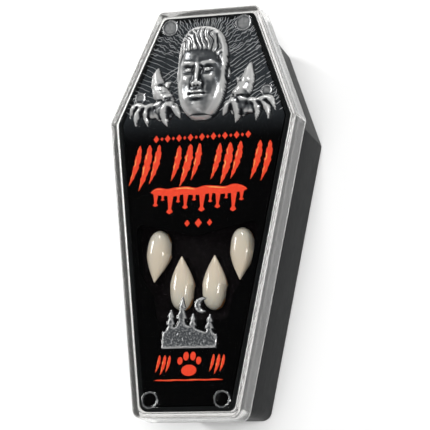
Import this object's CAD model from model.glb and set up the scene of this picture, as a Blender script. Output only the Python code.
# Werewolf fangs in a coffin-shaped case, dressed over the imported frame.
# Sizes in the dictionaries are millimetres, as in the part's source, and mm turns them into metres.
import bpy
import numpy as np
from mathutils import Matrix, Vector


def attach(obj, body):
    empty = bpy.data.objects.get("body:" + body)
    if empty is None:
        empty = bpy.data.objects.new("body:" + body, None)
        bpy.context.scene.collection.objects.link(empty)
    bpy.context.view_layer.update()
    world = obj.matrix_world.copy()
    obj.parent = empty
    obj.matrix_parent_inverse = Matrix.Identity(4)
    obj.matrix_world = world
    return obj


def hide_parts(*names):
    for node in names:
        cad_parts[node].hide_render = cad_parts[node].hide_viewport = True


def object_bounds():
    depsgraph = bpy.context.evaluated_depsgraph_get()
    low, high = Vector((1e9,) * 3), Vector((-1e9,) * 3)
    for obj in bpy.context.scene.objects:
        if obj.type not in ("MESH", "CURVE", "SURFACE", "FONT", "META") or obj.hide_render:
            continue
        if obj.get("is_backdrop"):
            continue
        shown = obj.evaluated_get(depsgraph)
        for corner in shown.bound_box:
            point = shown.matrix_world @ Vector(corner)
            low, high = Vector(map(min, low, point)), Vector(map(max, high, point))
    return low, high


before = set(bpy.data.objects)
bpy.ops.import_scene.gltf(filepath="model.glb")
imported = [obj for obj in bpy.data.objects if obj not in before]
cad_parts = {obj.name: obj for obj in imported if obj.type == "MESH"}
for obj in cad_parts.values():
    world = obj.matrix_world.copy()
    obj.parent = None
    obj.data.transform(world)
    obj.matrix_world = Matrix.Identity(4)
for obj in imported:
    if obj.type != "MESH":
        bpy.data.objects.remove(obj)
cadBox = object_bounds()
mm = 0.001
print("frame loaded")

# Camera: place, and the directions of its right and its top, in metres
view = {
    "place": (0.30209, -0.18432, 0.72736),
    "right": (0.9228, 0.0534, -0.3817),
    "up": (0.0423, 0.9703, 0.2381),
    "lens": 209.3,
}
cameraData = bpy.data.cameras.new("camera")
cameraData.lens = view["lens"]
cameraData.sensor_width = 36
camera = bpy.data.objects.new("camera", cameraData)
bpy.context.scene.collection.objects.link(camera)
right, up = Vector(view["right"]).normalized(), Vector(view["up"])
back = right.cross(up).normalized()
up = back.cross(right)
camera.matrix_world = Matrix.Translation(view["place"]) @ Matrix((right, up, back)).transposed().to_4x4()
bpy.context.scene.camera = camera

# Studio: a pale floor, a dim room and soft lights. The strip of room that the flat lid mirrors stays dark.
studio = {
    "floorColour": (0.96, 0.96, 0.957),
    "roomColour": (0.006, 0.0062, 0.0066),
    "lights": [
        {"name": "key", "place": (-1.05, 0.42, 0.9), "size": 0.5, "power": 9.5},
        {"name": "top", "place": (0.15, 1.25, 0.95), "size": 0.4, "power": 8},
        {"name": "side", "place": (1.3, 0.1, 0.75), "size": 0.4, "power": 7.5},
        {"name": "front", "place": (-0.5, -1.35, 0.9), "size": 0.4, "power": 0.8},
        {"name": "overhead", "place": (0.35, -0.3, 1.5), "size": 0.9, "power": 19},
    ],
}
scene = bpy.context.scene
scene.view_settings.view_transform = "Standard"
scene.view_settings.look = "None"
world = bpy.data.worlds.new("room")
scene.world = world
world.use_nodes = True
world.node_tree.nodes["Background"].inputs["Color"].default_value = (*studio["roomColour"], 1)
for light in studio["lights"]:
    data = bpy.data.lights.new(light["name"], "AREA")
    data.size = light["size"]
    data.energy = light["power"]
    lamp = bpy.data.objects.new(light["name"], data)
    scene.collection.objects.link(lamp)
    lamp.location = light["place"]
    # The flat lid mirrors no lamp from straight above, neither on its face nor on its underside
    lamp.visible_glossy = lamp.visible_transmission = light["name"] != "overhead"
    lamp.rotation_euler = (-Vector(light["place"])).to_track_quat("-Z", "Y").to_euler()
print("studio set")


# Shared ways of making a piece

def makePiece(name, points, faceBlocks, materials, faceMaterials=None, sharpAngle=None):
    # A mesh from an array of points and blocks of faces, each block an array with one row a face
    mesh = bpy.data.meshes.new(name)
    blocks = [np.asarray(block, dtype=np.int32) for block in faceBlocks]
    corners = np.concatenate([block.ravel() for block in blocks])
    sizes = np.concatenate([np.full(len(block), block.shape[1], dtype=np.int32) for block in blocks])
    starts = np.concatenate([[0], np.cumsum(sizes)[:-1]]).astype(np.int32)
    mesh.vertices.add(len(points))
    mesh.vertices.foreach_set("co", (np.asarray(points, dtype=np.float32) * mm).ravel())
    mesh.loops.add(len(corners))
    mesh.loops.foreach_set("vertex_index", corners)
    mesh.polygons.add(len(sizes))
    mesh.polygons.foreach_set("loop_start", starts)
    mesh.polygons.foreach_set("use_smooth", np.ones(len(sizes), dtype=bool))
    if faceMaterials is not None:
        mesh.polygons.foreach_set("material_index", np.asarray(faceMaterials, dtype=np.int32))
    mesh.update(calc_edges=True)
    if sharpAngle is not None:
        mesh.set_sharp_from_angle(angle=np.radians(sharpAngle))
    for material in materials:
        mesh.materials.append(material)
    piece = bpy.data.objects.new(name, mesh)
    bpy.context.scene.collection.objects.link(piece)
    print(name, len(points), "points")
    return piece


def addShare(piece, name, values):
    # A number at each point that a material can read
    share = piece.data.attributes.new(name, "FLOAT", "POINT")
    share.data.foreach_set("value", np.asarray(values, dtype=np.float32).ravel())


def smoothStep(low, high, value):
    # 0 below low, 1 above high, and 3t squared less 2t cubed between
    t = np.clip((value - low) / (high - low), 0, 1)
    return t * t * (3 - 2 * t)


def valueNoise(x, y, cell, seed):
    # Random heights from 0 to 1 on a square net, blended smoothly between its corners
    net = np.random.default_rng(seed).random((64, 64))
    column, row = np.floor(x / cell).astype(int), np.floor(y / cell).astype(int)
    across, along = smoothStep(0, 1, x / cell - column), smoothStep(0, 1, y / cell - row)
    corner = lambda i, j: net[(row + j) % 64, (column + i) % 64]
    low = corner(0, 0) * (1 - across) + corner(1, 0) * across
    high = corner(0, 1) * (1 - across) + corner(1, 1) * across
    return low * (1 - along) + high * along


# The coffin outline, which tray, pad, panel and lid share

coffin = {
    "length": 130.8, "headHalfWidth": 16.8, "shoulderHalfWidth": 31.5, "footHalfWidth": 17.5,
    "shoulderFromHead": 36, "cornerRadii": (2, 1.2, 3), "smallestRadius": 0.4, "arcSteps": 12,
}
halfLength = coffin["length"] / 2
shoulderY = halfLength - coffin["shoulderFromHead"]


def unit(vector):
    return vector / np.linalg.norm(vector, axis=-1, keepdims=True)


def coffinCorners(inset):
    # Corners anticlockwise from the head's right one, moved in along the halved corner angle
    head, shoulder, foot = coffin["headHalfWidth"], coffin["shoulderHalfWidth"], coffin["footHalfWidth"]
    outer = np.array([[head, halfLength], [-head, halfLength], [-shoulder, shoulderY],
                      [-foot, -halfLength], [foot, -halfLength], [shoulder, shoulderY]], float)
    arriving = unit(outer - np.roll(outer, 1, axis=0))
    leaving = unit(np.roll(outer, -1, axis=0) - outer)
    both = arriving + leaving
    inward = np.stack([-both[:, 1], both[:, 0]], axis=1)
    return outer + inward * inset / (1 + np.sum(arriving * leaving, axis=1, keepdims=True))


def sidePath(inset, cut, upperShares, lowerShares):
    # The right-hand side from the head end to the foot end: an arc at each of the three corners,
    # with points between them at the shares given. cut is how far the walls outside shrink the arcs.
    corners = coffinCorners(inset)
    stops = corners[[1, 0, 5, 4, 3]]
    arcs = []
    for k, radius in enumerate(coffin["cornerRadii"], start=1):
        radius = max(radius - cut, coffin["smallestRadius"])
        arriving, leaving = unit(stops[k] - stops[k - 1]), unit(stops[k + 1] - stops[k])
        turn = np.arccos(np.dot(arriving, leaving))
        start = stops[k] - arriving * radius * np.tan(turn / 2)
        rightward = np.array([arriving[1], -arriving[0]])
        centre = start + rightward * radius
        angle = np.linspace(0, turn, coffin["arcSteps"] + 1)[:, None]
        arcs.append(centre - radius * rightward * np.cos(angle) + radius * arriving * np.sin(angle))
    between = lambda a, b, shares: a + (b - a) * np.asarray(shares)[:, None]
    return np.concatenate([arcs[0], between(arcs[0][-1], arcs[1][0], upperShares), arcs[1],
                           between(arcs[1][-1], arcs[2][0], lowerShares), arcs[2]])


def ringLoop(side, shares, z):
    # One closed ring, clockwise from above from the head end's left: head end, right side, foot end, left side
    headRow = np.stack([side[0, 0] * shares[:-1], np.full(len(shares) - 1, side[0, 1])], axis=1)
    footRow = np.stack([side[-1, 0] * shares[:0:-1], np.full(len(shares) - 1, side[-1, 1])], axis=1)
    leftSide = side[:0:-1] * [-1, 1]
    flat = np.concatenate([headRow, side[:-1], footRow, leftSide])
    return np.column_stack([flat, np.full(len(flat), z)])


def gridBorder(rows, columns, first):
    # Indices of a grid's border, in the order of ringLoop
    index = first + np.arange(rows * columns).reshape(rows, columns)
    return np.concatenate([index[0, :-1], index[:-1, -1], index[-1, :0:-1], index[:0:-1, 0]])


def gridFaces(rows, columns, first, facingUp=True):
    index = first + np.arange(rows * columns).reshape(rows, columns)
    quads = np.stack([index[:-1, :-1], index[1:, :-1], index[1:, 1:], index[:-1, 1:]], axis=-1).reshape(-1, 4)
    return quads if facingUp else quads[:, ::-1]


def bandFaces(upper, lower):
    # Quads between two rings of equal count, facing away from the upper ring's inside
    return np.stack([upper, np.roll(upper, -1), np.roll(lower, -1), lower], axis=1)


def bandsBetween(rings, first):
    count = len(rings[0])
    indices = [first + k * count + np.arange(count) for k in range(len(rings))]
    return indices, [bandFaces(a, b) for a, b in zip(indices[:-1], indices[1:])]


# Shader helpers

def newMaterial(name):
    material = bpy.data.materials.new(name)
    material.use_nodes = True
    return material, material.node_tree.nodes, material.node_tree.links, material.node_tree.nodes["Principled BSDF"]


def makeGrainGroup():
    # Fine mottling and bumps at one scale: gives a mask from 0 to 1 and a bumped normal
    group = bpy.data.node_groups.new("surfaceGrain", "ShaderNodeTree")
    for name, kind, value in (("Scale", "NodeSocketFloat", 800), ("Strength", "NodeSocketFloat", 0.2),
                              ("Distance", "NodeSocketFloat", 0.00005), ("Stretch", "NodeSocketVector", (1, 1, 1))):
        socket = group.interface.new_socket(name, in_out="INPUT", socket_type=kind)
        socket.default_value = value
    group.interface.new_socket("Mask", in_out="OUTPUT", socket_type="NodeSocketFloat")
    group.interface.new_socket("Normal", in_out="OUTPUT", socket_type="NodeSocketVector")
    nodes, links = group.nodes, group.links
    source, result = nodes.new("NodeGroupInput"), nodes.new("NodeGroupOutput")
    place = nodes.new("ShaderNodeTexCoord")
    stretch = nodes.new("ShaderNodeVectorMath")
    stretch.operation = "MULTIPLY"
    noise = nodes.new("ShaderNodeTexNoise")
    noise.inputs["Detail"].default_value = 3
    bump = nodes.new("ShaderNodeBump")
    links.new(place.outputs["Object"], stretch.inputs[0])
    links.new(source.outputs["Stretch"], stretch.inputs[1])
    links.new(stretch.outputs[0], noise.inputs["Vector"])
    links.new(source.outputs["Scale"], noise.inputs["Scale"])
    links.new(noise.outputs["Fac"], bump.inputs["Height"])
    links.new(source.outputs["Strength"], bump.inputs["Strength"])
    links.new(source.outputs["Distance"], bump.inputs["Distance"])
    links.new(noise.outputs["Fac"], result.inputs["Mask"])
    links.new(bump.outputs["Normal"], result.inputs["Normal"])
    return group


grainGroup = makeGrainGroup()


def addGrain(nodes, scale, strength, distance, stretch=(1, 1, 1)):
    grain = nodes.new("ShaderNodeGroup")
    grain.node_tree = grainGroup
    grain.inputs["Scale"].default_value = scale
    grain.inputs["Strength"].default_value = strength
    grain.inputs["Distance"].default_value = distance
    grain.inputs["Stretch"].default_value = stretch
    return grain


def addRamp(nodes, links, source, stops):
    ramp = nodes.new("ShaderNodeValToRGB")
    while len(ramp.color_ramp.elements) < len(stops):
        ramp.color_ramp.elements.new(0.5)
    for element, (position, colour) in zip(ramp.color_ramp.elements, stops):
        element.position = position
        element.color = (*colour, 1)
    links.new(source, ramp.inputs["Fac"])
    return ramp


# Charcoal polystyrene of the tray
trayLook = {"colour": (0.006, 0.0068, 0.0072), "worn": (0.0100, 0.0108, 0.0113), "roughness": 0.32, "specular": 0.02}


def makeTrayMaterial():
    material, nodes, links, shader = newMaterial("charcoalPlastic")
    grain = addGrain(nodes, 700, 0.1, 0.00003, (0.4, 0.4, 1))
    ramp = addRamp(nodes, links, grain.outputs["Mask"], [(0.3, trayLook["colour"]), (0.8, trayLook["worn"])])
    rough = nodes.new("ShaderNodeMapRange")
    rough.inputs["To Min"].default_value = trayLook["roughness"] - 0.06
    rough.inputs["To Max"].default_value = trayLook["roughness"] + 0.12
    links.new(grain.outputs["Mask"], rough.inputs["Value"])
    links.new(rough.outputs["Result"], shader.inputs["Roughness"])
    links.new(ramp.outputs["Color"], shader.inputs["Base Color"])
    links.new(grain.outputs["Normal"], shader.inputs["Normal"])
    shader.inputs["Specular IOR Level"].default_value = trayLook["specular"]
    return material


# Flock on the foam pad
flockLook = {"dark": (0.0008, 0.0006, 0.0008), "light": (0.0036, 0.0024, 0.0030), "speck": (0.026, 0.021, 0.025)}


def makeFlockMaterial():
    material, nodes, links, shader = newMaterial("blackFlock")
    grain = addGrain(nodes, 2600, 0.6, 0.0001)
    patch = addGrain(nodes, 1100, 0.2, 0.0001)
    mix = nodes.new("ShaderNodeMath")
    mix.operation = "MULTIPLY"
    links.new(grain.outputs["Mask"], mix.inputs[0])
    links.new(patch.outputs["Mask"], mix.inputs[1])
    ramp = addRamp(nodes, links, mix.outputs[0], [(0.12, flockLook["dark"]), (0.34, flockLook["light"]),
                                                (0.43, flockLook["speck"])])
    links.new(ramp.outputs["Color"], shader.inputs["Base Color"])
    links.new(grain.outputs["Normal"], shader.inputs["Normal"])
    shader.inputs["Roughness"].default_value = 0.95
    shader.inputs["Specular IOR Level"].default_value = 0.15
    shader.inputs["Sheen Weight"].default_value = 0.03
    shader.inputs["Sheen Roughness"].default_value = 0.4
    shader.inputs["Sheen Tint"].default_value = (0.30, 0.22, 0.26, 1)
    return material


# Ivory of the fangs: warm at the tip, cooler at the gum end, and brown along the very edge
ivoryLook = {"tip": (0.68, 0.595, 0.485), "body": (0.65, 0.585, 0.485), "gum": (0.57, 0.545, 0.48), "edge": (0.36, 0.17, 0.06)}


def makeIvoryMaterial():
    material, nodes, links, shader = newMaterial("ivoryPlastic")
    share = nodes.new("ShaderNodeAttribute")
    share.attribute_name = "gum"
    grain = addGrain(nodes, 260, 0.15, 0.00008, (1, 0.3, 1))
    wander = nodes.new("ShaderNodeMath")
    wander.operation = "MULTIPLY_ADD"
    links.new(grain.outputs["Mask"], wander.inputs[0])
    wander.inputs[1].default_value = 0.08
    links.new(share.outputs["Fac"], wander.inputs[2])
    ramp = addRamp(nodes, links, wander.outputs[0],
                   [(0.05, ivoryLook["tip"]), (0.35, ivoryLook["body"]), (0.62, ivoryLook["gum"]), (1, ivoryLook["edge"])])
    links.new(ramp.outputs["Color"], shader.inputs["Base Color"])
    links.new(grain.outputs["Normal"], shader.inputs["Normal"])
    shader.inputs["Roughness"].default_value = 0.5
    shader.inputs["Specular IOR Level"].default_value = 0.25
    shader.inputs["Subsurface Weight"].default_value = 0.2
    shader.inputs["Subsurface Radius"].default_value = (0.0014, 0.0010, 0.0006)
    shader.inputs["Subsurface Scale"].default_value = 1
    shader.inputs["Coat Weight"].default_value = 1
    shader.inputs["Coat Roughness"].default_value = 0.05
    shader.inputs["Coat IOR"].default_value = 1.75
    return material


# Clear polystyrene of the lid. Shadow rays and diffuse rays pass it straight, so light reaches what lies under it once.
clearLook = {"colour": (0.975, 0.972, 0.962), "wall": (0.89, 0.885, 0.87), "edge": (0.78, 0.77, 0.75),
             "stroke": (0.44, 0.45, 0.46), "ior": 1.59, "shade": (0.90, 0.90, 0.89),
             "wallTint": (0.72, 0.72, 0.71)}


def makeClearMaterial(name, colour, roughness, transmission, grainScale, grainStrength, grainDistance, stretch=(1, 1, 1)):
    material, nodes, links, shader = newMaterial(name)
    grain = addGrain(nodes, grainScale, grainStrength, grainDistance, stretch)
    shader.inputs["Base Color"].default_value = (*colour, 1)
    shader.inputs["Roughness"].default_value = roughness
    shader.inputs["IOR"].default_value = clearLook["ior"]
    shader.inputs["Transmission Weight"].default_value = transmission
    links.new(grain.outputs["Normal"], shader.inputs["Normal"])
    passLight(nodes, links, shader)
    return material


def passLight(nodes, links, shader):
    light = nodes.new("ShaderNodeLightPath")
    passed = nodes.new("ShaderNodeBsdfTransparent")
    passed.inputs["Color"].default_value = (*clearLook["shade"], 1)
    either = nodes.new("ShaderNodeMath")
    either.operation = "MAXIMUM"
    links.new(light.outputs["Is Shadow Ray"], either.inputs[0])
    links.new(light.outputs["Is Diffuse Ray"], either.inputs[1])
    mix = nodes.new("ShaderNodeMixShader")
    links.new(either.outputs[0], mix.inputs["Fac"])
    links.new(shader.outputs["BSDF"], mix.inputs[1])
    links.new(passed.outputs["BSDF"], mix.inputs[2])
    links.new(mix.outputs["Shader"], nodes["Material Output"].inputs["Surface"])


# Cast relief: bright where it stands out from what is round it, and dark in its hollows
reliefLook = {"hollow": (0.012, 0.013, 0.015), "flat": (0.085, 0.091, 0.097), "ridge": (0.66, 0.66, 0.65),
              "roughness": 0.22, "metallic": 0.4, "transmission": 0.1}


def makeReliefMaterial():
    material, nodes, links, shader = newMaterial("silveryPlastic")
    ridge = nodes.new("ShaderNodeAttribute")
    ridge.attribute_name = "ridge"
    ramp = addRamp(nodes, links, ridge.outputs["Fac"],
                   [(0.12, reliefLook["hollow"]), (0.5, reliefLook["flat"]), (0.85, reliefLook["ridge"])])
    grain = addGrain(nodes, 900, 0.25, 0.00006)
    links.new(ramp.outputs["Color"], shader.inputs["Base Color"])
    links.new(grain.outputs["Normal"], shader.inputs["Normal"])
    shader.inputs["Roughness"].default_value = reliefLook["roughness"]
    shader.inputs["Metallic"].default_value = reliefLook["metallic"]
    shader.inputs["IOR"].default_value = clearLook["ior"]
    shader.inputs["Transmission Weight"].default_value = reliefLook["transmission"]
    passLight(nodes, links, shader)
    return material


# Black print of the panel, which turns to slate at the head end
panelLook = {"black": (0.0007, 0.0007, 0.0008), "slate": (0.034, 0.039, 0.045), "fadeFrom": 0.022, "fadeTo": 0.037}


def makePanelMaterial():
    material, nodes, links, shader = newMaterial("printedCard")
    place = nodes.new("ShaderNodeTexCoord")
    split = nodes.new("ShaderNodeSeparateXYZ")
    links.new(place.outputs["Object"], split.inputs[0])
    grain = addGrain(nodes, 900, 0.1, 0.00003)
    fade = nodes.new("ShaderNodeMapRange")
    fade.interpolation_type = "SMOOTHSTEP"
    fade.inputs["From Min"].default_value = panelLook["fadeFrom"]
    fade.inputs["From Max"].default_value = panelLook["fadeTo"]
    links.new(split.outputs["Y"], fade.inputs["Value"])
    dapple = nodes.new("ShaderNodeMath")
    dapple.operation = "MULTIPLY"
    links.new(fade.outputs["Result"], dapple.inputs[0])
    wide = nodes.new("ShaderNodeMapRange")
    wide.inputs["To Min"].default_value = 0.5
    wide.inputs["To Max"].default_value = 1.3
    links.new(grain.outputs["Mask"], wide.inputs["Value"])
    links.new(wide.outputs["Result"], dapple.inputs[1])
    ramp = addRamp(nodes, links, dapple.outputs[0], [(0, panelLook["black"]), (1, panelLook["slate"])])
    links.new(ramp.outputs["Color"], shader.inputs["Base Color"])
    links.new(grain.outputs["Normal"], shader.inputs["Normal"])
    shader.inputs["Roughness"].default_value = 0.5
    shader.inputs["Specular IOR Level"].default_value = 0.01
    return material


inkLook = {"colour": (0.80, 0.036, 0.005), "light": (0.88, 0.062, 0.009), "yellow": (0.86, 0.34, 0.07),
           "paleYellow": (0.88, 0.50, 0.16), "roughness": 0.6}


def makeInkMaterial(name, colour, light):
    material, nodes, links, shader = newMaterial(name)
    grain = addGrain(nodes, 1300, 0.15, 0.00002)
    ramp = addRamp(nodes, links, grain.outputs["Mask"], [(0.4, colour), (0.8, light)])
    links.new(ramp.outputs["Color"], shader.inputs["Base Color"])
    links.new(grain.outputs["Normal"], shader.inputs["Normal"])
    shader.inputs["Roughness"].default_value = inkLook["roughness"]
    return material


def makeFloorMaterial():
    material, nodes, links, shader = newMaterial("paleFloor")
    grain = addGrain(nodes, 40, 0.02, 0.0001)
    pale = studio["floorColour"]
    ramp = addRamp(nodes, links, grain.outputs["Mask"], [(0.3, tuple(c * 0.99 for c in pale)), (0.7, pale)])
    links.new(ramp.outputs["Color"], shader.inputs["Base Color"])
    shader.inputs["Roughness"].default_value = 0.9
    return material


trayMaterial = makeTrayMaterial()
flockMaterial = makeFlockMaterial()
ivoryMaterial = makeIvoryMaterial()
clearMaterial = makeClearMaterial("clearPlastic", clearLook["colour"], 0.02, 1, 160, 0.3, 0.00002)
wallMaterial = makeClearMaterial("streakedPlastic", clearLook["wall"], 0.12, 1, 900, 0.12, 0.00003,
                                 (0.03, 0.03, 1))
wallMaterial.node_tree.nodes["Principled BSDF"].inputs["Specular Tint"].default_value = (*clearLook["wallTint"], 1)
edgeMaterial = makeClearMaterial("hazyPlastic", clearLook["edge"], 0.2, 0.85, 900, 0.04, 0.00003, (0.1, 0.1, 1))
strokeMaterial = makeClearMaterial("scratchedPlastic", clearLook["stroke"], 0.3, 0.35, 2500, 0.5, 0.00005)
reliefMaterial = makeReliefMaterial()
panelMaterial = makePanelMaterial()
inkMaterial = makeInkMaterial("orangeInk", inkLook["colour"], inkLook["light"])
inkLightMaterial = makeInkMaterial("yellowInk", inkLook["yellow"], inkLook["paleYellow"])
print("materials made")

# Floor
floorMesh = bpy.data.meshes.new("floor")
reach = 6
floorMesh.from_pydata([(-reach, -reach, 0), (reach, -reach, 0), (reach, reach, 0), (-reach, reach, 0)], [], [(0, 1, 2, 3)])
floorMesh.materials.append(makeFloorMaterial())
floor = bpy.data.objects.new("floor", floorMesh)
scene.collection.objects.link(floor)
floor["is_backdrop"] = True

# Tray: a thin deep box whose sides lean in towards the base

tray = {"depth": 36.2, "wall": 1.5, "floor": 1.5, "draft": 2.9, "mouthInset": 2.1, "rimRound": 0.3, "baseRound": 0.9}


def trayInset(z):
    return tray["mouthInset"] + tray["draft"] * (1 - z / tray["depth"])


def makeTray():
    # Rings carried from the base up the outside, over the rim and down the inside.
    # Each edge is a quarter circle, worked out as an inset and a height.
    shares = np.linspace(-1, 1, 9)
    rows = (np.linspace(0, 1, 10)[1:-1], np.linspace(0, 1, 20)[1:-1])
    ring = lambda inset, cut, z: ringLoop(sidePath(inset, cut, *rows), shares, z)
    angles = np.linspace(0, np.pi / 2, 5)
    rings = []
    wall, rim, base = tray["wall"], tray["rimRound"], tray["baseRound"]
    inner = lambda z: trayInset(z) + wall
    for angle in angles:  # fillet inside the floor, from the floor out to the wall
        z = tray["floor"] + base * (1 - np.cos(angle))
        rings.append(ring(inner(z) + base * (1 - np.sin(angle)), wall, z))
    for angle in angles:  # inner edge of the rim
        z = tray["depth"] - rim * (1 - np.sin(angle))
        rings.append(ring(inner(z) - rim * (1 - np.cos(angle)), wall, z))
    for angle in angles:  # outer edge of the rim
        z = tray["depth"] - rim * (1 - np.cos(angle))
        rings.append(ring(trayInset(z) + rim * (1 - np.sin(angle)), 0, z))
    for angle in angles:  # base edge
        z = base * (1 - np.sin(angle))
        rings.append(ring(trayInset(z) + base * (1 - np.cos(angle)), 0, z))
    indices, bands = bandsBetween(rings, 0)
    caps = [indices[0][::-1][None, :], indices[-1][None, :]]
    return makePiece("tray_shell", np.concatenate(rings), [*bands, *caps], [trayMaterial], sharpAngle=35)


trayPiece = makeTray()
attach(trayPiece, "case")
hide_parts("tray")

# Fangs: tables of sections from tip (0) to gum end (1), as in the part's source

fang = {
    "length": 16.8, "width": 8.1, "depth": 6.3, "wall": 0.85, "back": 29.8, "frontPower": 2.3, "backPower": 4,
    "sideShare": 0.24, "socketFrom": 0.49, "socketTo": 0.87, "rings": 130, "ledge": 0.06, "softRings": 5,
    "along": (0, 0.04, 0.13, 0.25, 0.36, 0.46, 0.55, 0.565, 0.67, 0.78, 0.87, 0.94, 0.985, 1),
    "halfWidths": (0.035, 0.13, 0.34, 0.6, 0.79, 0.92, 1, 0.955, 0.93, 0.87, 0.76, 0.57, 0.3, 0.1),
    "fronts": (0.675, 0.72, 0.8, 0.88, 0.94, 0.98, 1, 1, 1, 0.97, 0.9, 0.78, 0.6, 0.42),
    "backs": (0.635, 0.58, 0.47, 0.33, 0.2, 0.08, 0, 0.03, 0.03, 0.03, 0.03, 0.05, 0.14, 0.26),
    "places": {
        "fang_upper_left": (-14.1, -13.7, np.pi - np.radians(2)),
        "fang_upper_right": (14.1, -13.7, np.pi + np.radians(2)),
        "fang_lower_left": (-5.45, -22.6, np.radians(0.6)),
        "fang_lower_right": (5.45, -22.6, -np.radians(0.6)),
    },
}


def softTable(name, along):
    # A table's values along the fang, its corners rounded by a running mean, except at the gum end
    values = np.interp(along, fang["along"], fang[name])
    reach = fang["softRings"]
    rounded = np.convolve(np.pad(values, reach, mode="edge"), np.full(2 * reach + 1, 1 / (2 * reach + 1)), "valid")
    return (values + (rounded - values) * (1 - smoothStep(0.88, 0.95, along)))[:, None]


def fangPoints(side):
    # side is 1 or -1: the side that has the ledge, a step in the half width just past its widest place.
    # Rings from tip to gum end. In each, a front arch is a rounded square over the widest line, and the back
    # is a flatter one. Inside the wall the back steps up to the socket's ceiling, an arch one wall below the front.
    along = np.linspace(0, 1, fang["rings"]) ** 1.15
    table = lambda name: softTable(name, along)
    half = table("halfWidths") * fang["width"] / 2
    front, back = table("fronts") * fang["depth"], table("backs") * fang["depth"]
    middle = back + (front - back) * fang["sideShare"]
    angle = np.linspace(0, np.pi, 41)[None, :]
    archX = half * np.sign(np.cos(angle)) * np.abs(np.cos(angle)) ** (2 / fang["frontPower"])
    archZ = middle + (front - middle) * np.abs(np.sin(angle)) ** (2 / fang["frontPower"])
    inner = np.maximum(half - fang["wall"], 0.35 * half)
    lip = np.linspace(0, 1, 5)[1:][None, :]
    vault = np.cos(np.linspace(np.pi, 0, 15))[None, :]
    lipX = half + (inner - half) * lip
    underZ = lambda x: middle - (middle - back) * (1 - np.clip(np.abs(x) / half, 0, 1) ** fang["backPower"]) ** (
        1 / fang["backPower"])
    vaultX = inner * vault
    hollow = smoothStep(fang["socketFrom"] - 0.008, fang["socketFrom"], along)[:, None] * (
        1 - smoothStep(fang["socketTo"], fang["socketTo"] + 0.008, along)[:, None])
    ceiling = middle + (front - fang["wall"] - middle) * (1 - np.abs(vault) ** fang["frontPower"]) ** (
        1 / fang["frontPower"])
    vaultZ = underZ(vaultX) * (1 - hollow) + ceiling * hollow
    x = np.concatenate([archX, -lipX, vaultX, lipX[:, ::-1]], axis=1)
    ledge = smoothStep(0.535, 0.55, along) * (1 - smoothStep(0.62, 0.9, along))
    x = x * (1 - fang["ledge"] * ledge[:, None] * smoothStep(0.72, 1, x * side / half))
    z = np.concatenate([archZ, underZ(lipX), vaultZ, underZ(lipX)[:, ::-1]], axis=1)
    y = np.broadcast_to(fang["length"] * (0.5 - along)[:, None], x.shape)
    return np.stack([x, y, z], axis=-1), along


def makeFang(name, place):
    x, y, turn = place
    grid, along = fangPoints(np.sign(np.cos(turn)))
    rings, count = grid.shape[:2]
    flat = grid.reshape(-1, 3)
    turned = np.column_stack([
        flat[:, 0] * np.cos(turn) - flat[:, 1] * np.sin(turn) + x,
        flat[:, 0] * np.sin(turn) + flat[:, 1] * np.cos(turn) + y,
        flat[:, 2] + fang["back"],
    ])
    index = np.arange(rings * count).reshape(rings, count)
    following = np.roll(index, -1, axis=1)
    sides = np.stack([index[:-1], following[:-1], following[1:], index[1:]], axis=-1).reshape(-1, 4)[:, ::-1]
    caps = [index[0][None, :], index[-1][::-1][None, :]]
    piece = makePiece(name + "_cap", turned, [sides, *caps], [ivoryMaterial], sharpAngle=60)
    edge = np.abs(grid[..., 0]) / np.maximum(np.max(np.abs(grid[..., 0]), axis=1, keepdims=True), 1e-6)
    gum = smoothStep(0.25, 0.95, along)[:, None] * 0.5 + 0.75 * smoothStep(0.955, 1, edge)
    addShare(piece, "gum", gum)
    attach(piece, "case")
    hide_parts(name)


for name, place in fang["places"].items():
    makeFang(name, place)

# Foam pad with a flocked top and a soft seat under each fang

pad = {"top": 31.0, "base": 1.8, "gap": 0.3, "seatDepth": 1.5, "seatClearance": 0.4, "edgeRound": 1.2, "fuzz": 0.16}


def seatMask(x, y):
    # 1 inside a fang's outline and 0 outside it, with a soft slope between
    mask = np.zeros_like(x)
    for placeX, placeY, turn in fang["places"].values():
        across = (x - placeX) * np.cos(turn) + (y - placeY) * np.sin(turn)
        along = 0.5 - (-(x - placeX) * np.sin(turn) + (y - placeY) * np.cos(turn)) / fang["length"]
        half = np.interp(along, fang["along"], fang["halfWidths"], left=-1, right=-1) * fang["width"] / 2
        mask = np.maximum(mask, smoothStep(-0.55, 0.05, half + pad["seatClearance"] - np.abs(across)))
    return mask


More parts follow.
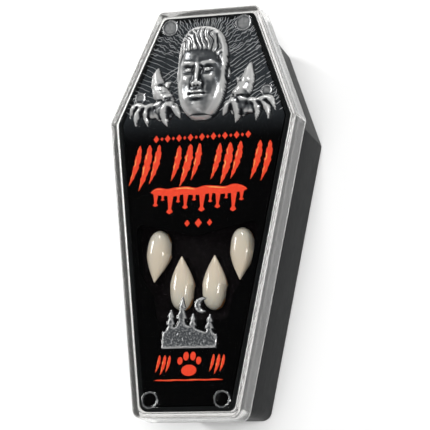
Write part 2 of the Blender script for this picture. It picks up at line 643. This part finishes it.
def makePad():
    # Top: a grid inside the coffin outline, its height less the seats, plus a fine fuzz.
    # Round it rings go over a quarter-circle edge and down the sides.
    ys = np.concatenate([np.arange(28, -2, -1.0), np.arange(-2, -34, -0.3), np.arange(-34, -61, -1.0)])
    lowerShares = (shoulderY - ys) / (shoulderY + halfLength)
    upperShares = np.linspace(0, 1, 36)[1:-1]
    shares = np.sin(np.linspace(-1, 1, 131) * np.pi / 2 * 0.8) / np.sin(np.pi / 2 * 0.8)
    topInset = trayInset(pad["top"]) + tray["wall"] + pad["gap"]
    baseInset = trayInset(pad["base"]) + tray["wall"] + pad["gap"]
    side = sidePath(topInset + pad["edgeRound"], tray["wall"] + pad["edgeRound"], upperShares, lowerShares)
    x, y = side[:, :1] * shares[None, :], np.broadcast_to(side[:, 1:], (len(side), len(shares)))
    fuzz = pad["fuzz"] * (valueNoise(x, y, 0.7, 3) - 1) * 0.6 + 0.5 * pad["fuzz"] * (valueNoise(x, y, 3.1, 4) - 1)
    z = pad["top"] + fuzz - pad["seatDepth"] * seatMask(x, y)
    border = np.concatenate([z[0, :-1], z[:-1, -1], z[-1, :0:-1], z[:0:-1, 0]])
    rings = []
    for angle in np.linspace(0, np.pi / 2, 6)[1:]:
        inset = topInset + pad["edgeRound"] * (1 - np.sin(angle))
        ring = ringLoop(sidePath(inset, tray["wall"] + pad["edgeRound"], upperShares, lowerShares), shares, 0)
        ring[:, 2] = pad["top"] - pad["edgeRound"] * (1 - np.cos(angle)) + (border - pad["top"]) * np.cos(angle)
        rings.append(ring)
    for share in np.linspace(0, 1, 8)[1:]:
        inset = topInset + (baseInset - topInset) * share
        z0 = (pad["top"] - pad["edgeRound"]) * (1 - share) + pad["base"] * share
        rings.append(ringLoop(sidePath(inset, tray["wall"] + pad["edgeRound"], upperShares, lowerShares), shares, z0))
    rows, columns = x.shape
    indices, bands = bandsBetween(rings, rows * columns)
    points = np.concatenate([np.stack([x, y, z], axis=-1).reshape(-1, 3), *rings])
    faces = [gridFaces(rows, columns, 0), bandFaces(gridBorder(rows, columns, 0), indices[0]), *bands,
             indices[-1][None, :]]
    return makePiece("pad_flock", points, faces, [flockMaterial])


padPiece = makePad()
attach(padPiece, "case")
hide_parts("foam_pad")

# Printed panel: the carried-over sheet with its print, and thin raised ink on it

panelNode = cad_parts["printed_panel"]
panelNode.data.materials.clear()
panelNode.data.materials.append(panelMaterial)

ink = {
    "low": 36.16, "high": 36.26, "lightAside": 0.62, "lightWidth": 0.16,
    # rows of claw slashes: middle x, middle y, height, lean and widest half width of each stroke
    "slashes": [
        (-22.6, 15.2, 13.0, 0.24, 0.95), (-19.2, 14.4, 14.8, 0.20, 1.20), (-15.8, 15.4, 12.6, 0.22, 1.05),
        (-8.6, 15.4, 11.4, 0.20, 1.00), (-5.2, 14.6, 13.6, 0.22, 1.25), (-1.8, 15.6, 11.8, 0.20, 1.00),
        (5.0, 15.4, 11.6, 0.22, 1.00), (8.4, 14.6, 13.4, 0.20, 1.25), (11.8, 15.5, 12.0, 0.24, 1.05),
        (18.4, 15.2, 12.4, 0.22, 1.05), (21.8, 14.8, 12.8, 0.20, 1.05),
        (-10.6, -48.4, 5.4, 0.22, 0.50), (-8.9, -48.8, 6.2, 0.22, 0.58), (-7.2, -48.5, 5.2, 0.22, 0.50),
        (7.4, -48.4, 5.4, 0.22, 0.50), (9.1, -48.8, 6.2, 0.22, 0.58), (10.8, -48.5, 5.2, 0.22, 0.50),
    ],
    # drips under the bar: x, lowest y and half width
    "drips": [
        (-14.6, 1.6, 0.75), (-12.2, 3.4, 0.55), (-9.6, -1.0, 0.95), (-6.9, 2.6, 0.60), (-4.4, 0.4, 0.80),
        (-1.5, 3.0, 0.60), (1.2, -0.6, 0.95), (4.0, 2.2, 0.60), (6.5, 0.2, 0.80), (9.3, 3.2, 0.55),
        (11.8, -1.0, 0.90), (14.4, 2.4, 0.70),
    ],
    # bars: left x, right x, y and half height
    "bars": [(-16.4, 16.2, 6.2, 1.25), (-11.5, 11.5, -53.6, 0.22)],
    # lozenges: x, y, half width and half height
    "lozenges": [
        *[(x, 23.5, 0.95 if k % 2 == 0 else 0.5, 1.2 if k % 2 == 0 else 0.6)
          for k, x in enumerate(np.linspace(-15.6, 15.6, 17))],
        (-3.4, -4.2, 0.9, 1.1), (0.4, -4.2, 1.2, 1.45), (4.2, -4.2, 0.9, 1.1),
    ],
    # round pads of the paw print: x, y, half width and half height
    "pads": [(0, -50.6, 2.5, 1.75), (-3.1, -47.6, 0.85, 1.2), (-1.15, -46.2, 0.9, 1.35), (1.15, -46.2, 0.9, 1.35),
             (3.1, -47.6, 0.85, 1.2)],
}


def ribbonPoints(middles, halves, low, high):
    # A flat strip carried along each path: at every step four corners, half a width to each side and thin in height
    along = unit(np.gradient(middles, axis=1))
    across = np.stack([along[..., 1], -along[..., 0]], axis=-1) * halves[..., None]
    right, left = middles + across, middles - across
    height = lambda flat, z: np.concatenate([flat, np.full((*flat.shape[:2], 1), z)], axis=-1)
    return np.stack([height(right, low), height(right, high), height(left, high), height(left, low)], axis=2)


def ribbonFaces(strips, steps, first):
    index = first + np.arange(strips * steps * 4).reshape(strips, steps, 4)
    following = np.roll(index, -1, axis=2)
    sides = np.stack([index[:, :-1], index[:, 1:], following[:, 1:], following[:, :-1]], axis=-1).reshape(-1, 4)
    return [sides, index[:, 0].reshape(-1, 4), index[:, -1, ::-1].reshape(-1, 4)]


def makeInk():
    steps = 41
    t = np.linspace(0, 1, steps)[None, :]
    blob = np.sqrt(np.clip(1 - (2 * t - 1) ** 2, 0.0004, 1))
    column = lambda rows, k: np.array([row[k] for row in rows])[:, None]
    sets = []
    rows = ink["slashes"]  # lens-shaped strokes with ragged sides
    span = (0.5 - t) * column(rows, 2)
    bend = 0.05 * column(rows, 2) * (1 - (2 * t - 1) ** 2)
    ragged = 1 + 0.22 * np.sin(37 * t + 5 * column(rows, 0)) * np.sin(11 * t + column(rows, 0))
    lens = np.clip(np.sin(np.pi * t ** 0.75), 0.01, 1) ** 0.8
    sets.append((np.stack([column(rows, 0) + span * column(rows, 3) + bend, column(rows, 1) + span], axis=-1),
                 column(rows, 4) * lens * ragged))
    rows = ink["drips"]  # narrow necks that end in a drop
    top = ink["bars"][0][2]
    fall = (top - column(rows, 1)) * t
    neck = column(rows, 2) * (1.25 - 1.0 * t + 0.75 * np.exp(-((t - 0.9) / 0.085) ** 2)) * np.sqrt(
        np.clip(1 - smoothStep(0.9, 1, t) ** 2, 0.0004, 1))
    sets.append((np.stack([column(rows, 0) + 0 * t, top - fall], axis=-1), neck))
    rows = ink["bars"]
    level = column(rows, 2) + 0.18 * column(rows, 3) * np.sin(23 * t)
    taper = np.clip(1 - np.abs(2 * t - 1) ** 14, 0.02, 1) * (1 + 0.14 * np.sin(31 * t) * np.sin(9 * t))
    sets.append((np.stack([column(rows, 0) + (column(rows, 1) - column(rows, 0)) * t, level], axis=-1),
                 column(rows, 3) * taper))
    rows = ink["lozenges"]
    sets.append((np.stack([column(rows, 0) + 0 * t, column(rows, 1) + column(rows, 3) * (1 - 2 * t)], axis=-1),
                 column(rows, 2) * np.clip(1 - np.abs(2 * t - 1), 0.02, 1)))
    rows = ink["pads"]
    sets.append((np.stack([column(rows, 0) + 0 * t, column(rows, 1) + column(rows, 3) * (1 - 2 * t)], axis=-1),
                 column(rows, 2) * blob))
    for k in (0, 2):  # a thin light line inside the left edge of each slash, and inside the top of each bar
        middles, halves = sets[k]
        aside = halves * ink["lightAside"]
        shift = np.stack([-aside, 0 * aside], axis=-1) if k == 0 else np.stack([0 * aside, aside], axis=-1)
        broken = np.sin(np.pi * t) * smoothStep(-0.5, 0.4, np.sin(19 * t + 3 * middles[:, :1, 0]))
        sets.append((middles + shift, np.maximum(halves * ink["lightWidth"] * broken, 0.004)))
    points, faces, looks, first = [], [], [], 0
    for layer, (middles, halves) in enumerate(sets):  # each set lies a hair above the one before
        strips = ribbonPoints(middles, halves, ink["low"], ink["high"] + 0.01 * layer)
        points.append(strips.reshape(-1, 3))
        blocks = ribbonFaces(len(strips), steps, first)
        faces.extend(blocks)
        looks.append(np.full(sum(len(block) for block in blocks), int(layer > 4)))
        first += len(points[-1])
    return makePiece("panel_ink", np.concatenate(points), faces, [inkMaterial, inkLightMaterial],
                     np.concatenate(looks), sharpAngle=40)


inkPiece = makeInk()
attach(inkPiece, "cover")

# Lid: a clear plate with a skirt and cast relief

lid = {
    "underside": 36.5, "plate": 1.2, "skirtWall": 1.6, "skirtDepth": 8, "edgeRound": 0.6, "rimRound": 0.25,
    "columns": 190, "relief": 0.05, "shadeRight": 0.28, "lightLeft": 0.12,
}
head = {
    "halfWidth": 8.4, "halfHeight": 15.2, "depth": 5.75, "hollowDepth": 4.7, "wall": 1.5, "middleY": 43.6,
    # forms: x, y, spread across, spread along, depth; all in shares of the head's half sizes
    "forms": [
        (0.24, 0.125, 0.13, 0.040, 0.06), (0.50, 0.150, 0.16, 0.040, 0.06), (0, 0.30, 0.45, 0.13, 0.03),
        (0.40, 0.02, 0.19, 0.075, -0.13), (0.19, 0.01, 0.07, 0.06, -0.09), (0.40, 0.000, 0.125, 0.042, 0.15),
        (0.40, 0.048, 0.15, 0.011, -0.04), (0.40, -0.050, 0.14, 0.011, -0.035), (0.40, -0.095, 0.16, 0.02, -0.02),
        (0.50, -0.17, 0.20, 0.09, 0.06), (0.50, -0.42, 0.16, 0.12, -0.035), (0, -0.04, 0.075, 0.15, 0.09),
        (0, -0.19, 0.085, 0.10, 0.08), (0, -0.285, 0.11, 0.050, 0.13), (0.155, -0.31, 0.06, 0.034, 0.09),
        (0.075, -0.352, 0.035, 0.012, -0.09), (0.25, -0.36, 0.05, 0.06, -0.035), (0, -0.415, 0.03, 0.035, -0.035),
        (0.075, -0.472, 0.11, 0.022, 0.07), (0, -0.515, 0.22, 0.011, -0.08), (0, -0.560, 0.16, 0.030, 0.09),
        (0, -0.635, 0.15, 0.030, -0.06), (0, -0.78, 0.21, 0.080, 0.09), (0.28, -0.515, 0.05, 0.03, -0.04),
        (0.82, -0.05, 0.10, 0.20, -0.06), (0.80, 0.25, 0.12, 0.12, -0.05), (0.60, -0.60, 0.15, 0.12, 0.03),
        (0.40, -0.004, 0.045, 0.028, 0.05), (0.40, -0.004, 0.022, 0.012, -0.09),
    ],
    "hairline": 0.43, "hairDrop": 0.45, "hairSoftness": 0.018, "hairDepth": 0.075, "lockDepth": 0.02,
    "strandDepth": 0.022, "skinDepth": 0.010,
    "ear": (8.1, 43.3, 1.1, 2.8, 1.5),
}
hand = {
    "span": 20, "palmX": 12, "palmY": 34.5, "lift": 0.5, "thick": 1.5,
    # half width along a claw: knuckles near the root and the middle, then a long point
    "swellAt": (-0.12, -0.05, 0, 0.14, 0.34, 0.44, 0.56, 0.75, 0.93, 1), "swell": (0, 0.8, 1.05, 1.15, 0.92, 0.94, 0.78, 0.52, 0.22, 0),
    # claws: root x, y, tip x, y, radius, rise and bend, in shares of the span
    "claws": [
        (0.05, 0.08, 0.19, 0.61, 0.085, 0.05, 0.05), (0.05, 0.2, -0.05, 0.37, 0.045, 0.03, 0.03),
        (0.02, 0.04, -0.1, 0.14, 0.05, 0.02, 0.02), (-0.01, -0.02, -0.24, -0.26, 0.055, 0.01, 0.05),
        (-0.02, -0.05, -0.03, -0.38, 0.055, 0.01, -0.05), (0.02, 0.03, 0.5, -0.03, 0.052, 0, 0.04),
        (0.4, -0.01, 0.63, -0.2, 0.048, 0.01, -0.08), (0.38, -0.02, 0.52, -0.35, 0.045, 0.01, -0.06),
        (0.28, -0.01, 0.31, -0.35, 0.045, 0.01, -0.05),
    ],
    # rounded forms: x, y, half width, half height, depth
    "forms": [(0.03, -0.01, 0.17, 0.21, 0.12), (0.05, -0.15, 0.17, 0.13, 0.08), (0.20, -0.10, 0.27, 0.13, 0.09)],
}
discs = {"height": 0.4, "places": [(12.5, 59.7, 2.85), (21.5, 37.0, 2.1), (12, -59.9, 2.85)]}
picture = {
    "width": 18, "height": 16.6, "footY": -43.8, "relief": 0.4,
    # pines: x, foot, height and width in shares of the picture
    "pines": [(-0.36, 0.3, 0.42, 0.2), (-0.16, 0.34, 0.62, 0.24), (0.05, 0.3, 0.34, 0.17), (0.36, 0.22, 0.4, 0.2)],
    "tiers": 3, "shrink": 0.25, "notch": 0.4, "cover": 0.8,
    "skyX": (-0.5, -0.34, -0.14, 0.08, 0.3, 0.5), "skyY": (0.3, 0.36, 0.46, 0.36, 0.28, 0.24),
    "moon": (0.2, 0.8, 0.14, 0.085),
}


def headOutline(v):
    # Half width of the head at height v: a rounded square, drawn in towards the chin
    return np.where(v < 0, 1 - 0.16 * v * v, 1) * np.clip(1 - np.abs(0.985 * v) ** 3.4, 0, 1) ** (1 / 2.3)


def headDome(u, v):
    # The dome over the outline: falls from 1 at the middle to 0 at the sides, crown and chin, fuller at the crown
    power = np.where(v > 0, 9, 4)
    return np.clip(1 - np.abs(u) ** 3, 0, 1) ** 0.45 * np.clip(1 - np.abs(0.985 * v) ** power, 0, 1) ** 0.5


def headHeight(x, y):
    # The dome times one plus the sum of bell-shaped forms, with combed-back hair above the hairline
    v = (y - head["middleY"]) / head["halfHeight"]
    outline = headOutline(np.clip(v, -1, 1))
    across = x / head["halfWidth"]
    u = across / np.maximum(outline, 1e-6)
    height = np.ones_like(x)
    for formX, formY, spreadX, spreadY, depth in head["forms"]:
        for centre in {formX, -formX}:
            height += depth * np.exp(-0.7 * (((across - centre) / spreadX) ** 2 + ((v - formY) / spreadY) ** 2))
    hair = 1 / (1 + np.exp(-(v - (head["hairline"] - head["hairDrop"] * across**4)) / head["hairSoftness"]))
    wave = across * (1.7 - 0.8 * v) + 0.35 * v + 0.08 * np.sin(9 * v) + 0.3 * valueNoise(x, y, 2.2, 51)
    strands = 0.5 * np.cos(wave * np.pi * 15) + 0.5 * np.cos(wave * np.pi * 22 + 5 * valueNoise(x, y, 1.5, 52))
    height += hair * (head["hairDepth"] + head["lockDepth"] * np.cos(7 * np.pi * wave) + head["strandDepth"] * strands)
    height += head["skinDepth"] * (1 - hair) * (valueNoise(x, y, 1.6, 53) + 0.6 * valueNoise(x, y, 0.9, 54) - 0.8)
    inside = (np.abs(v) < 1) & (np.abs(u) < 1)
    raised = np.where(inside, head["depth"] * height * headDome(u, np.clip(v, -1, 1)), 0)
    earX, earY, earWidth, earHeight, earDepth = head["ear"]
    reach = ((np.abs(x) - earX) / earWidth) ** 2 + ((y - earY) / earHeight) ** 2
    ear = earDepth * np.sqrt(np.clip(1 - reach, 0, 1)) * (1 - 0.45 * np.exp(-reach / 0.12))
    return np.maximum(raised, ear)


def clawHeight(x, y, claw):
    # A round spine carried from root to tip on a bowed line: its radius swells near the root and thins to a point,
    # and shallow rings cross it
    rootX, rootY, tipX, tipY, radius, rise, bend = (value * hand["span"] for value in claw)
    reachX, reachY = tipX - rootX, tipY - rootY
    length = np.hypot(reachX, reachY)
    along = ((x - rootX) * reachX + (y - rootY) * reachY) / length**2
    aside = ((x - rootX) * reachY - (y - rootY) * reachX) / length - bend * 4 * along * (1 - along)
    swell = np.interp(along, hand["swellAt"], hand["swell"])
    thick = radius * swell * hand["thick"]
    roof = thick * (1 - np.clip(np.abs(aside) / np.maximum(thick, 1e-6), 0, 1) ** 1.7)
    return np.where(np.abs(aside) < thick,
                    (radius * hand["lift"] + rise * np.clip(along, 0, 1)) * (swell > 0) * np.clip(swell * 2, 0, 1)
                    + roof, 0)


def handHeight(x, y):
    # The claws and three half-sunk balls blended softly, the same on both sides
    localX, localY = np.abs(x) - hand["palmX"], y - hand["palmY"]
    height = np.zeros_like(x)
    for claw in hand["claws"]:
        height = np.cbrt(height**3 + clawHeight(localX, localY, claw) ** 3)
    knobs = 0.12 * (valueNoise(x, y, 1.1, 11) - 0.5)
    height = np.where(height > 0.05, height + knobs * smoothStep(0, 0.8, height), height)
    for formX, formY, halfWidth, halfHeight, depth in (np.array(form) * hand["span"] for form in hand["forms"]):
        reach = ((localX - formX) / halfWidth) ** 2 + ((localY - formY) / halfHeight) ** 2
        height = np.cbrt(height**3 + (depth * np.sqrt(np.clip(1 - reach, 0, 1))) ** 3)
    return height


def discHeight(x, y):
    # Low round pads with a raised rim. The middle is stippled, or clear on the foot's pads.
    height, frost = np.zeros_like(x), np.zeros_like(x)
    stipple = 0.03 * (valueNoise(x, y, 0.6, 21) - 0.4)
    for discX, discY, radius in discs["places"]:
        reach = np.hypot(np.abs(x) - discX, y - discY)
        body = discs["height"] * (1 - smoothStep(radius - 0.25, radius, reach))
        rim = np.exp(-((reach - radius + 0.35) / 0.2) ** 2)
        stippled = (reach < radius - 0.6) if discY > 0 else np.zeros_like(x)
        height = np.maximum(height, body * (0.55 + 0.45 * rim) + stipple * stippled)
        frost = np.maximum(frost, np.where((rim > 0.55) & (reach < radius), 2 if discY < 0 else 1.5, stippled))
    return height, frost


def pictureHeight(x, y):
    # Raised shapes as masks: a hill under its skyline, pines whose sides step in by tiers, and a crescent
    across, up = x / picture["width"], (y - picture["footY"]) / picture["height"]
    step = 0.17 / picture["width"]
    edge = lambda distance: smoothStep(-step, step, distance)
    shape = edge(0.5 - np.abs(across)) * edge(up) * edge(np.interp(across, picture["skyX"], picture["skyY"]) - up)
    for pineX, foot, height, width in picture["pines"]:
        level = np.clip((up - foot) / height, 0, 0.9999)
        tier = np.floor(level * picture["tiers"])
        inTier = (level * picture["tiers"] - tier) / picture["cover"]
        reach = width / 2 * (1 - picture["shrink"] * tier)
        half = reach * (1 + (picture["notch"] - 1) * np.clip(inTier, 0, 1))
        last = tier == picture["tiers"] - 1
        half = np.where(last, reach * (1 - (level * picture["tiers"] - tier)), half)
        shape = np.maximum(shape, edge(half - np.abs(across - pineX)) * edge(up - foot) * edge(foot + height - up))
    moonX, moonY, moonRadius, bite = picture["moon"]
    moonAcross, moonUp = x - moonX * picture["width"], y - picture["footY"] - moonY * picture["height"]
    outside = moonRadius - np.hypot(moonAcross, moonUp) / picture["height"]
    inside = np.hypot(moonAcross - bite * picture["height"], moonUp) / picture["height"] - moonRadius * 0.85
    shape = np.maximum(shape, edge(outside) * edge(inside))
    pebbles = 0.13 * (valueNoise(x, y, 0.34, 31) - 0.5) + 0.05 * (valueNoise(x, y, 1.1, 32) - 0.5)
    outline = 4 * shape * (1 - shape)
    return shape * (picture["relief"] + pebbles), outline


def reliefHeight(x, y):
    # The highest form at each point, whether it is silvery, and how far it stands out from its surroundings
    discForm, discFrost = discHeight(x, y)
    pictureForm, outline = pictureHeight(x, y)
    hands = handHeight(x, y)
    forms = np.maximum.reduce([headHeight(x, y), hands, discForm, pictureForm])
    silvery = np.where(discForm > 0, discFrost > 0, forms > lid["relief"])
    around = boxMean(forms, 4)
    ridge = 0.5 + np.clip((forms - around) / 0.9, -0.4, 0.4)
    fine = (forms - boxMean(forms, 2)) / 0.25
    ridge = ridge + np.clip(fine, -0.3, 0.3)
    stands = np.maximum(hands, headHeight(x, y)) > lid["relief"]
    rim = boxMean(stands.astype(float), 1)
    ridge = ridge + 0.3 * 4 * rim * (1 - rim) * stands
    lean = -np.gradient(forms, axis=1) / np.gradient(x, axis=1)  # slope that faces right
    ridge = ridge - lid["shadeRight"] * np.clip(lean, 0, 1) + lid["lightLeft"] * np.clip(-lean, 0, 1)
    ridge = np.where(pictureForm > 0, 0.5 + 0.5 * (ridge - 0.5), ridge)
    ridge = np.maximum(ridge, 0.8 * outline**2)
    ridge = np.where(discFrost == 2, 0.52, np.where(discFrost == 1.5, 0.58, np.where(discFrost == 1, 0.62 + 0.8 * (ridge - 0.5), ridge)))
    return forms, silvery, np.clip(ridge, 0, 1)


def boxMean(values, reach):
    # The mean over a square of cells, as a running sum along each axis in turn
    for axis in (0, 1):
        padded = np.concatenate([np.repeat(values.take([0], axis), reach + 1, axis), values,
                                 np.repeat(values.take([-1], axis), reach, axis)], axis)
        total = np.cumsum(padded, axis)
        count = values.shape[axis]
        values = (total.take(np.arange(count) + 2 * reach + 1, axis) - total.take(np.arange(count), axis)) / (2 * reach + 1)
    return values


def hollowDepth(x, y):
    # The hollow behind the head: the plain dome, one wall smaller
    v = (y - head["middleY"]) / (head["halfHeight"] - head["wall"])
    u = x / (head["halfWidth"] - head["wall"]) / np.maximum(headOutline(np.clip(v, -1, 1)), 1e-6)
    inside = (np.abs(v) < 1) & (np.abs(u) < 1)
    dome = headDome(u, np.clip(v, -1, 1))
    return np.where(inside, lid["plate"] + head["hollowDepth"] * dome, 0)


def makeLid():
    # Top: a fine grid inside the outline, lifted by the relief. From its border rings go over the front edge,
    # down the skirt, round its rim and up inside to the underside, a grid with every other row and column.
    ys = np.concatenate([np.arange(29.0, 24, -0.25), np.arange(24, -26, -2.5), np.arange(-26, -45, -0.22),
                         np.arange(-45, -56, -2.2), np.arange(-56.5, -64, -0.25)])
    arcs = sidePath(lid["edgeRound"], lid["edgeRound"], [], [])[:, 1]
    steps = coffin["arcSteps"]
    shoulderEnd, footStart = arcs[2 * steps + 1], arcs[2 * steps + 2]
    ys = ys[(ys < shoulderEnd) & (ys > footStart)]
    lowerShares = (shoulderEnd - ys) / (shoulderEnd - footStart)
    upperShares = np.linspace(0, 1, 150)[1:-1]
    if (len(lowerShares) + len(upperShares) + 3 * steps) % 2:
        upperShares = np.linspace(0, 1, 151)[1:-1]
    shares = np.linspace(-1, 1, lid["columns"] + 1)
    top = lid["underside"] + lid["plate"]
    foot = lid["underside"] - lid["skirtDepth"]
    wall, edgeRound, rimRound = lid["skirtWall"], lid["edgeRound"], lid["rimRound"]
    sideAt = lambda inset: sidePath(inset, min(inset, 0.8), upperShares, lowerShares)
    side = sideAt(edgeRound)
    x, y = side[:, :1] * shares[None, :], np.broadcast_to(side[:, 1:], (len(side), len(shares)))
    raised, silvery, ridge = reliefHeight(x, y)
    rows, columns = x.shape
    rings = []
    for angle in np.linspace(0, np.pi / 2, 5)[1:]:
        rings.append(ringLoop(sideAt(edgeRound * (1 - np.sin(angle))), shares, top - edgeRound * (1 - np.cos(angle))))
    rings.append(ringLoop(sideAt(0), shares, (top + foot) / 2))
    for angle in np.linspace(0, np.pi / 2, 4):
        rings.append(ringLoop(sideAt(rimRound * (1 - np.cos(angle))), shares, foot + rimRound * (1 - np.sin(angle))))
    indices, bands = bandsBetween(rings, rows * columns)
    points = [np.stack([x, y, top + raised], axis=-1).reshape(-1, 3), *rings]
    first = rows * columns + len(rings) * len(rings[0])
    # inside, at half the density
    innerSide = lambda inset: sideAt(inset)[::2]
    innerShares = shares[::2]
    innerRings = []
    for angle in np.linspace(0, np.pi / 2, 4):
        innerRings.append(ringLoop(innerSide(wall - rimRound * (1 - np.sin(angle))), innerShares,
                                   foot + rimRound * (1 - np.cos(angle))))
    innerRings.append(ringLoop(innerSide(wall), innerShares, (top + foot) / 2))
    innerRings.append(ringLoop(innerSide(wall), innerShares, lid["underside"] - 0.3))
    innerRings.append(ringLoop(innerSide(wall + 0.09), innerShares, lid["underside"] - 0.09))
    innerIndices, innerBands = bandsBetween(innerRings, first)
    gridFirst = first + len(innerRings) * len(innerRings[0])
    under = innerSide(wall + 0.3)
    underX = under[:, :1] * innerShares[None, :]
    underY = np.broadcast_to(under[:, 1:], underX.shape)
    points.extend(innerRings)
    points.append(np.stack([underX, underY, lid["underside"] + hollowDepth(underX, underY)], axis=-1).reshape(-1, 3))
    underRows, underColumns = underX.shape
    outerRim, innerRim = indices[-1], innerIndices[0]
    seam = np.stack([outerRim[0::2], outerRim[1::2], np.roll(outerRim[0::2], -1), np.roll(innerRim, -1), innerRim], axis=1)
    topFaces = gridFaces(rows, columns, 0)
    silveryFaces = np.max(silvery.ravel()[topFaces], axis=1)
    clear, silver, walls, hazy = 0, 1, 2, 3
    look = lambda faces, which: np.full(len(faces), which, dtype=np.int32)
    blocks = [(topFaces, np.where(silveryFaces, silver, clear)),
              (bandFaces(gridBorder(rows, columns, 0), indices[0]), None)]
    blocks[1] = (blocks[1][0], look(blocks[1][0], hazy))
    blocks += [(band, look(band, hazy if k < 4 or k > 5 else walls)) for k, band in enumerate(bands, start=1)]
    blocks.append((seam, look(seam, hazy)))
    blocks += [(band, look(band, hazy if k < 3 or k > 4 else walls)) for k, band in enumerate(innerBands)]
    fillet = bandFaces(innerIndices[-1], gridBorder(underRows, underColumns, gridFirst))
    blocks.append((fillet, look(fillet, hazy)))
    underside = gridFaces(underRows, underColumns, gridFirst, facingUp=False)
    blocks.append((underside, look(underside, clear)))
    allPoints = np.concatenate(points)
    piece = makePiece("lid_clear", allPoints, [faces for faces, _ in blocks],
                      [clearMaterial, reliefMaterial, wallMaterial, edgeMaterial],
                      np.concatenate([looks for _, looks in blocks]), sharpAngle=50)
    shares = np.full(len(allPoints), 0.5)
    shares[:ridge.size] = ridge.ravel()
    addShare(piece, "ridge", shares)
    print("relief stands", round(float(raised.max()), 2), "mm high")
    return piece


lidPiece = makeLid()
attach(lidPiece, "cover")
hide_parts("lid")

# Cast strokes on the ground of the head end: a fan round the crown, and slanting lines at both sides
strokes = {
    "low": 37.6, "high": 37.84, "steps": 25, "margin": 3.3, "clear": 0.12, "lowest": 29.5,
    # ruled lines: side, slope in degrees, spacing, half width, first row's place, rows, strokes to a row
    "ruled": [(1, 32, 1.15, 0.062, (7.0, 16.0), 31, 4), (-1, 25, 1.5, 0.04, (7.0, 22.0), 23, 4)],
    "strokeLength": (5.5, 11.5), "gap": 0.6, "ruledTop": 52.5,
    # fan: distance from the head's outline and number of strokes in each row
    "fanRows": [(0.8, 52), (3.4, 60), (6.2, 68), (9.0, 76), (11.8, 84)],
    "fanLength": 2.9, "fanHalf": 0.055, "fanAngle": 88, "fanLowest": 50.5,
    # arcs round the right shoulder's pad
    "arcs": {"x": 21.5, "y": 37, "radii": (3.2, 4.5, 5.8), "from": -60, "sweep": 120, "half": 0.07},
}


def makeStrokes():
    # Each stroke is a narrow strip along a gently waved line. It thins to nothing where relief stands over it,
    # and a stroke that would cross the border is left out.
    random = np.random.default_rng(17)
    t = np.linspace(0, 1, strokes["steps"])[None, :]
    swell = 0.35 + 0.65 * np.sin(np.pi * t)
    sets = []
    for side, slope, spacing, half, (firstX, firstY), rows, each in strokes["ruled"]:
        lean = np.radians(slope)
        along, across = np.array([np.cos(lean), np.sin(lean)]), np.array([-np.sin(lean), np.cos(lean)])
        length = random.uniform(*strokes["strokeLength"], (rows, each))
        start = np.cumsum(length + strokes["gap"], axis=1) - length - random.uniform(0, 6, (rows, 1))
        row = np.repeat(np.arange(rows) * spacing, each)[:, None] + random.normal(0, 0.07, (rows * each, 1))
        start, length = start.reshape(-1, 1), length.reshape(-1, 1)
        run = start + length * t
        offset = row + 0.10 * np.sin(0.9 * run + 0.8 * row) + 0.05 * np.sin(2.3 * run + row)
        middles = np.array([firstX, firstY]) + run[..., None] * along + offset[..., None] * across
        sets.append((middles * [side, 1], half * swell * np.ones_like(run), strokes["lowest"], strokes["ruledTop"]))
    for first, count in strokes["fanRows"]:
        angle = np.radians(strokes["fanAngle"]) * np.linspace(-1, 1, count)[:, None] + random.normal(0, 0.015, (count, 1))
        reach = first + strokes["fanLength"] * t * random.uniform(0.75, 1.15, (count, 1))
        reach = reach + random.uniform(-0.5, 0.5, (count, 1))
        turn = angle + random.normal(0, 0.006, (count, 1)) * (2.4 * t - 1.2) + 0.009 * np.sin(
            3.2 * reach + random.uniform(0, 6, (count, 1)))
        middles = np.stack([(head["halfWidth"] + reach) * np.sin(turn),
                            head["middleY"] + (head["halfHeight"] + reach) * np.cos(turn)], axis=-1)
        sets.append((middles, strokes["fanHalf"] * swell * np.ones_like(reach), strokes["fanLowest"], halfLength))
    arcs = strokes["arcs"]
    radius = np.array(arcs["radii"])[:, None]
    turn = np.radians(arcs["from"] + arcs["sweep"] * t)
    middles = np.stack([arcs["x"] + radius * np.cos(turn), arcs["y"] + radius * np.sin(turn)], axis=-1)
    sets.append((middles, arcs["half"] * swell * np.ones_like(radius * t), strokes["lowest"], strokes["ruledTop"]))
    middles, halves = (np.concatenate([part[k] for part in sets]) for k in (0, 1))
    low, high = (np.concatenate([np.full(len(part[0]), part[k]) for part in sets])[:, None] for k in (2, 3))
    border = sidePath(strokes["margin"], 0.8, [0.5], [0.5])
    limit = np.interp(-middles[..., 1], -border[:, 1], border[:, 0])
    end = coffinCorners(strokes["margin"])[0, 1]
    x, y = middles[..., 0], middles[..., 1]
    inside = (np.abs(x) < limit) & (y < np.minimum(end, high)) & (y > low)
    whole = np.cumprod(inside, axis=1).sum(axis=1)  # points before a stroke leaves its zone
    kept = whole > strokes["clear"] * strokes["steps"]
    middles, halves, whole = middles[kept], halves[kept], whole[kept, None]
    place = t * (whole - 1)  # the same number of points again, spread over that part
    before = np.floor(place).astype(int)
    after, share = np.minimum(before + 1, whole - 1), (place - before)[..., None]
    middles = (np.take_along_axis(middles, before[..., None], 1) * (1 - share)
               + np.take_along_axis(middles, after[..., None], 1) * share)
    x, y = middles[..., 0], middles[..., 1]
    over = np.maximum.reduce([headHeight(x, y), handHeight(x, y), discHeight(x, y)[0]])
    halves = halves * (1 - smoothStep(0, 0.12, over)) + 0.003
    shown = (over < 0.06).mean(axis=1) > strokes["clear"]
    strips = ribbonPoints(middles[shown], halves[shown], strokes["low"], strokes["high"])
    return makePiece("lid_strokes", strips.reshape(-1, 3), ribbonFaces(len(strips), strokes["steps"], 0),
                     [strokeMaterial], sharpAngle=40)


strokePiece = makeStrokes()
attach(strokePiece, "cover")

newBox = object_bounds()
{"cad": [list(corner) for corner in cadBox], "visual": [list(corner) for corner in newBox]}
print("pieces done")
